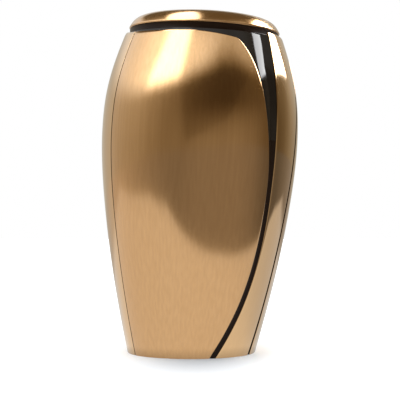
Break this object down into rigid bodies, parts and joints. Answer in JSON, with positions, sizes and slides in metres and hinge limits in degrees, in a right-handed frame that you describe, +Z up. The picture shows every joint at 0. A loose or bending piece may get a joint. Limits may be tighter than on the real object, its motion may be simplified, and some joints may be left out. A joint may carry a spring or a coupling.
{
  "type": "cremation urn",
  "caption": "Tall ovoid bronze cremation urn with raised panels over a glossy black ground that sweeps round it as a ribbon, and a shallow domed lift-off lid.",
  "frame": {"origin": "centre of the foot's underside, on the surface that the urn stands on", "axes": "+Z up, -Y the front with the wide satin panel, +X to its right; the urn's own axis leans 2.5 degrees from +Z towards +X"},
  "size_m": [0.1604, 0.16, 0.2756],
  "materials": {
    "bronze_satin": "satin, brushed upright on the front panel and round the lid, under clear lacquer",
    "bronze_polished": "polished, under clear lacquer",
    "black_lacquer": "gloss black lacquer over the recessed ground"
  },
  "bodies": {
    "root": {"body": "bronze_satin", "lid": "bronze_satin"}
  },
  "joints": []
}
